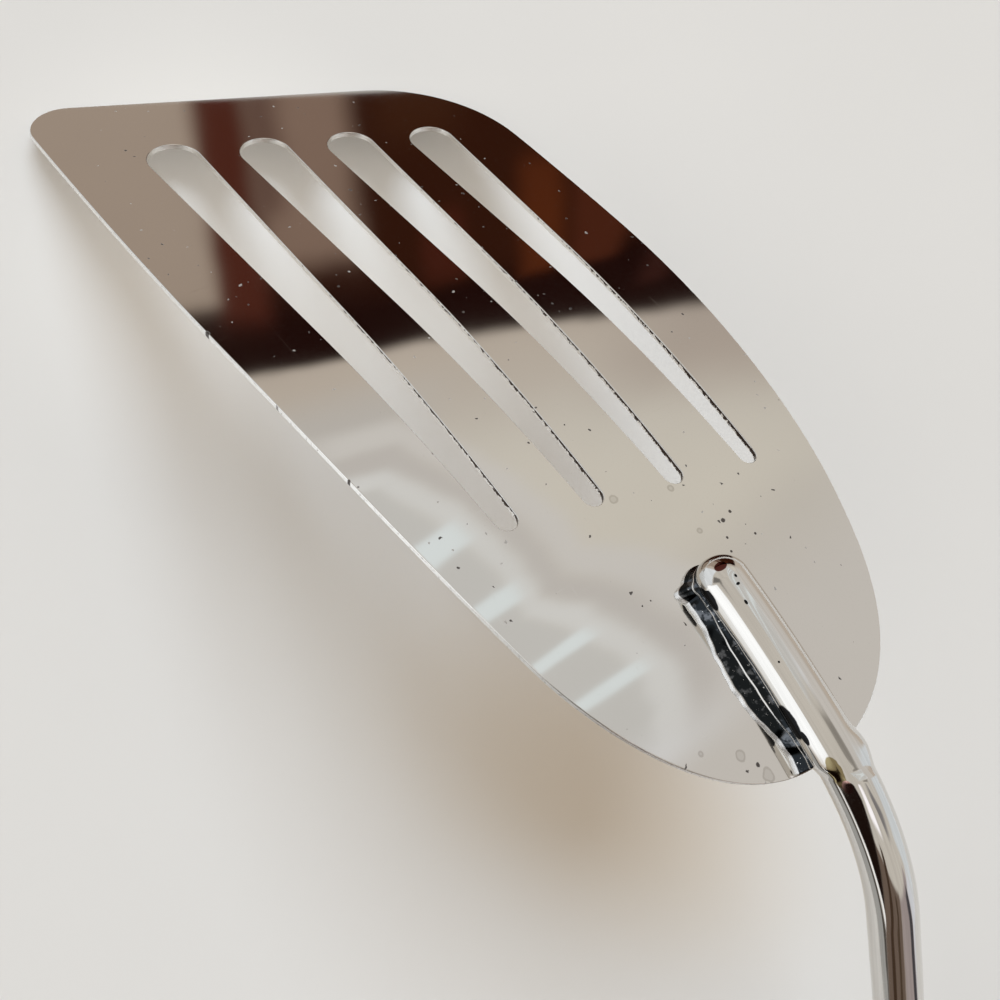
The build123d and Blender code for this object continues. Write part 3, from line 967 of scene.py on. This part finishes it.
def build_loop():
    """The hanging loop: one wire with two pins, two arms and a half round end."""
    half_width = handle_radius + loop_side_gap + loop_wire_diameter / 2
    pin = handle_radius - loop_pin_depth
    corner = loop_corner_radius
    line = list(run((0, -pin), (0, corner - half_width), 1.0))
    line += list(arc((corner, corner - half_width), corner, pi, 1.5 * pi, 10))
    line += list(run((corner, -half_width), (loop_arm_length, -half_width), 1.0))
    line += list(arc((loop_arm_length, 0), half_width, -pi / 2, pi / 2, 48))
    line += list(run((loop_arm_length, half_width), (corner, half_width), 1.0))
    line += list(arc((corner, half_width - corner), corner, pi / 2, pi, 10))
    line += list(run((0, half_width - corner), (0, pin), 1.0)) + [np.array([0, pin])]
    line = np.array(line)
    heading = np.gradient(line, axis=0)
    heading /= np.linalg.norm(heading, axis=1)[:, None]
    slope = handle_slope - loop_lift
    along = np.array([cos(slope), 0, -sin(slope)])
    across = np.array([0, 1, 0])
    up = np.cross(along, across)
    centre = rod_bend_end + handle_direction * handle_reach
    points, maps = [], []
    travelled = 0.0
    for row, (place, head) in enumerate(zip(line, heading)):
        middle = centre + along * place[0] + across * place[1]
        outer = along * head[1] - across * head[0]
        if row:
            travelled += float(np.linalg.norm(place - line[row - 1]))
        points += ring(middle, outer, up, loop_wire_diameter / 2, wire_sides)
        maps += ring_map(travelled, wire_sides)
    faces = bar_faces(len(line), wire_sides, flip=True)
    add_piece("hanging_loop", points, faces, maps, [wire_steel], body="loop")


build_loop()


# Stage: a pale floor, a room that only the steel mirrors, a soft sun and the camera

def stage_mesh(name, points, faces, material):
    """A mesh that isn't part of the object."""
    mesh = bpy.data.meshes.new(name)
    mesh.from_pydata(points, [], faces)
    mesh.materials.append(material)
    made = new_object(name, mesh)
    return made


def floor_material():
    """A matt pale floor, with painted warm shade in the blade's shadow and a painted glow under the blade's
    front. Towards the room's dark side, the steel looks past its edge.
    """
    material, tree = emptied(bpy.data.materials.new("floor"))
    place = add(tree, "TexCoord").outputs["Object"]
    cloud = noise(place, 9.0, 4.0)
    colour = mix_colour(cloud, (0.725, 0.717, 0.705), (0.775, 0.767, 0.755))
    # Painted shade: a warm, darker patch on the floor in the blade's shadow along its left edge
    inputs = {"Vector": place, "Rotation": (0, 0, radians(33)), "Scale": (0.062, 0.034, 1.0)}
    warm_shade = fed("Mapping", inputs, vector_type="TEXTURE").outputs[0]
    warm_shade = fed("VectorMath", {0: warm_shade}, operation="LENGTH").outputs["Value"]
    warm_shade = scaled(cloud, 0.5, warm_shade)
    colour = mix_colour(smooth(warm_shade, 1.25, 0.35), colour, (0.71, 0.65, 0.575))
    # Painted light: the floor glows in two soft pools under the blade's front, standing for light that the
    # blade's mirror back throws there
    painted_glow = 0.0
    for middle_x, middle_y, reach, strength in ((-0.122, -0.018, 0.052, 0.15), (-0.098, 0.022, 0.046, 0.13)):
        pool = smooth(gap_from(place, (middle_x, middle_y, 0)), reach, 0.003)
        painted_glow = scaled(pool, strength, painted_glow)
    inputs = {"Base Color": colour, "Roughness": 0.7, "Emission Strength": painted_glow}
    inputs["Emission Color"] = (1.0, 0.96, 0.88, 1)
    surface = fed("BsdfPrincipled", inputs)
    mirrored = add(tree, "LightPath").outputs["Is Glossy Ray"]
    past_front = smooth(split(place)[0], -0.15, -0.18)
    past_side = smooth(split(place)[1], -0.065, -0.085)
    past_edge = calc("MULTIPLY", mirrored, calc("MAXIMUM", past_front, past_side))
    clear = add(tree, "BsdfTransparent")
    return surfaced(material, "MixShader", {0: past_edge, 1: surface.outputs[0], 2: clear.outputs[0]})


floor_half = 3.0
floor_corners = [(x * floor_half, y * floor_half, 0) for x, y in ((-1, -1), (1, -1), (1, 1), (-1, 1))]
stage_mesh("floor", floor_corners, [(0, 1, 2, 3)], floor_material())

# The room that the steel mirrors, by azimuth and elevation in degrees. Each patch has its limits,
# its soft edge and the shade that polished steel shows of it.
dark_line_at_157 = 12.3
dark_line_climb = 0.118
taupe = (153, 137, 122)
dark_patches = [
    (157.9, 200, -30, 7.5, 0.5, taupe),
    (155.9, 158.3, -30, 8.4, 0.7, (72, 34, 24)),
    (151.0, 155.7, -30, 5.6, 0.9, (122, 100, 86)),
    (154.3, 155.9, -30, 3.0, 0.8, (92, 70, 60)),
    (140.4, 142.6, 1.5, 8.5, 0.7, (76, 35, 16)),
    (137.2, 139.9, 2.5, 8.6, 0.6, (68, 32, 19)),
    (133.6, 135.4, 7.5, 12.2, 0.7, (48, 24, 19)),
    (145.6, 147.9, 3.6, 6.8, 0.6, (62, 27, 17)),
    (145.4, 149.5, -30, 0.0, 1.2, (55, 29, 16)),
]
bright_patches = [
    (116, 146, 25, 41, 6, (197, 190, 177)),
    (118, 134, 12, 22, 4, (166, 154, 142)),
    (60, 108, 20, 60, 10, (191, 185, 177)),
    (92, 112, 48, 62, 4, (205, 203, 200)),
    (146, 160, 18, 30, 3, (180, 174, 166)),
]
window_streaks = [
    (-6.2, -3.4, 0.9, (197, 192, 185)),
    (-3.4, -1.4, 0.8, (184, 178, 171)),
    (-1.4, 0.6, 0.6, (205, 203, 198)),
]
window_bars = (139.8, 132.2, 120.5, 110.4)
side_patches = [
    (-8, 32, -90, 30, 2, (150, 138, 134)),
    (17, 26, -90, 26, 1.5, (64, 61, 63)),
    (27, 40, -90, 22, 2, (203, 203, 205)),
    (40, 78, -90, 36, 3, (200, 203, 203)),
    (18, 42, 48, 66, 4, (120, 116, 114)),
    (55, 85, 57, 76, 4, (134, 128, 119)),
    (-50, -8, -90, 32, 2, (100, 85, 74)),
    (-39, -33, -90, 40, 1, (60, 45, 34)),
    (-23, -18, -90, 28, 1, (70, 56, 44)),
    (-76, -47, -50, -11, 2, (150, 148, 143)),
    (-76, -47, -17, -11, 1, (72, 67, 61)),
    (-72, -49, -10, 54, 1.5, (24, 14, 10)),
    (-72, -48, -9.5, -4, 1, (238, 235, 230)),
    (-38, -14, 52, 70, 3, (255, 250, 250)),
    (-108, -76, -90, 47, 2, (255, 255, 253)),
    (-172, -109, -90, 24, 3, (214, 216, 216)),
    (-145, -118, 28, 58, 4, (112, 107, 101)),
]


def room_material():
    """The room's shades by direction, painted on a distant dome."""
    material, tree = emptied(bpy.data.materials.new("room"))
    place = add(tree, "TexCoord").outputs["Object"]
    towards = split(fed("VectorMath", {0: place}, operation="NORMALIZE").outputs[0])
    azimuth = calc("MULTIPLY", calc("ARCTAN2", towards[1], towards[0]), 180 / pi)
    elevation = calc("MULTIPLY", calc("ARCSINE", towards[2]), 180 / pi)
    drift = calc("SUBTRACT", noise(place, 0.45, 2.0), 0.5)
    azimuth = scaled(drift, 1.2, azimuth)
    drift = calc("SUBTRACT", noise(place, 0.55, 2.0), 0.5)
    elevation = scaled(drift, 1.4, elevation)

    def within(value, low, high, soft):
        """1 between two limits, with soft edges."""
        rising = smooth(value, low - soft, low + soft)
        return calc("MULTIPLY", rising, smooth(value, high + soft, high - soft))

    def patch(colour, low_azimuth, high_azimuth, low, high, soft, shown):
        """A soft-edged patch over the colour so far."""
        wide = within(azimuth, low_azimuth, high_azimuth, soft)
        tall = within(elevation, low, high, soft)
        return mix_colour(calc("MULTIPLY", wide, tall), colour, seen(*shown))

    # Walls and ceiling
    bright = mix_colour(smooth(elevation, 12, 30), seen(178, 166, 152), seen(188, 181, 170))
    for values in bright_patches:
        bright = patch(bright, *values)
    # Window: streaks along a line that climbs towards azimuth 98, then panes with bright bars
    near_line = ramp(azimuth, 129.0, 147.0, 42.0, 27.5)
    far_line = ramp(azimuth, 95.0, 129.0, 9.0, 0.0)
    line = calc("ADD", near_line, far_line)
    above = calc("SUBTRACT", elevation, line)
    reach = calc("MULTIPLY", smooth(azimuth, 92, 104), smooth(azimuth, 156, 150))
    window = bright
    for low, high, soft, shown in window_streaks:
        window = mix_colour(within(above, low, high, soft), window, seen(*shown))
    window = mix_colour(smooth(above, 0.2, 1.0), window, seen(190, 187, 181))
    across = scaled(above, -0.52, azimuth)
    bars = within(across, window_bars[0] - 1.3, window_bars[0] + 1.3, 0.3)
    for bar in window_bars[1:]:
        bars = calc("MAXIMUM", bars, within(across, bar - 1.2, bar + 1.2, 0.3))
    bars = calc("MULTIPLY", bars, smooth(above, -0.6, 0.3))
    window = mix_colour(bars, window, seen(212, 217, 215))
    bright = mix_colour(reach, bright, window)
    # Furniture and doorway, below a soft line that is higher towards azimuth 130
    dark = mix_colour(smooth(elevation, 5.5, 8.5), seen(46, 21, 11), seen(27, 10, 7))
    for values in dark_patches:
        dark = patch(dark, *values)
    line = scaled(azimuth, -dark_line_climb, dark_line_at_157 + dark_line_climb * 157)
    below = calc("SUBTRACT", line, elevation)
    low = calc("MULTIPLY", smooth(below, -0.75, 0.75), within(azimuth, 119, 190, 2))
    colour = mix_colour(low, bright, dark)
    for values in side_patches:
        colour = patch(colour, *values)
    return surfaced(material, "Emission", {"Color": colour, "Strength": 1.0})


def build_room():
    """A dome far outside, which only mirrored rays meet."""
    radius, levels = 20.0, 48
    ahead, aside = np.array([1, 0, 0]), np.array([0, 1, 0])
    points = []
    for level in range(levels + 1):
        lift = -pi / 2 + pi * level / levels
        centre = np.array([0, 0, radius * sin(lift)])
        points += ring(centre, ahead, aside, radius * cos(lift), ring_sides)
    room = stage_mesh("room", points, ring_faces(levels + 1, ring_sides), room_material())
    for rays in ("camera", "diffuse", "shadow", "volume_scatter"):
        setattr(room, "visible_" + rays, False)


build_room()

world, world_tree = emptied(bpy.data.worlds.new("studio"))
bpy.context.scene.world = world
path = add(world_tree, "LightPath")
up = split(add(world_tree, "TexCoord").outputs["Generated"])[2]
tent = ramp(up, 0.05, 0.7, 0.70, 0.46)
world_light = add(world_tree, "Background", {"Color": (1.0, 0.87, 0.72, 1), "Strength": tent})
world_shown = add(world_tree, "Background", {"Color": (0.80, 0.79, 0.77, 1), "Strength": 1.0})
world_mix = {0: path.outputs["Is Camera Ray"], 1: world_light.outputs[0], 2: world_shown.outputs[0]}
surfaced(world, "MixShader", world_mix, "OutputWorld")


def soft_sun(name, energy, angle, colour, direction):
    """A sun that matt surfaces see and mirrors don't."""
    data = bpy.data.lights.new(name, "SUN")
    data.energy = energy
    data.angle = radians(angle)
    data.color = colour
    sun = new_object(name, data)
    sun.rotation_mode = "QUATERNION"
    sun.rotation_quaternion = Vector(direction).to_track_quat("-Z", "Y")
    sun.visible_glossy = False


soft_sun("sun", 1.75, 40, (0.76, 0.88, 1.0), (0.470, -0.217, -0.856))
soft_sun("fill", 0.8, 56, (1.0, 0.96, 0.90), (0.15, 0.90, -0.40))

camera_place = Vector((169.699, -93.119, 110.062))
camera_right = Vector((0.605716, 0.782894, 0.142075))
camera_down = Vector((0.652654, -0.386715, -0.651532))
camera_forward = camera_right.cross(camera_down)
camera_data = bpy.data.cameras.new("camera")
camera_data.lens = 39.6
camera_data.clip_start = 0.005
camera = new_object("camera", camera_data)
camera_turn = Matrix((camera_right, -camera_down, -camera_forward)).transposed().to_4x4()
camera.matrix_world = Matrix.Translation(placement @ camera_place) @ blade_axes @ camera_turn
bpy.context.scene.camera = camera
bpy.context.scene.view_settings.view_transform = "Standard"
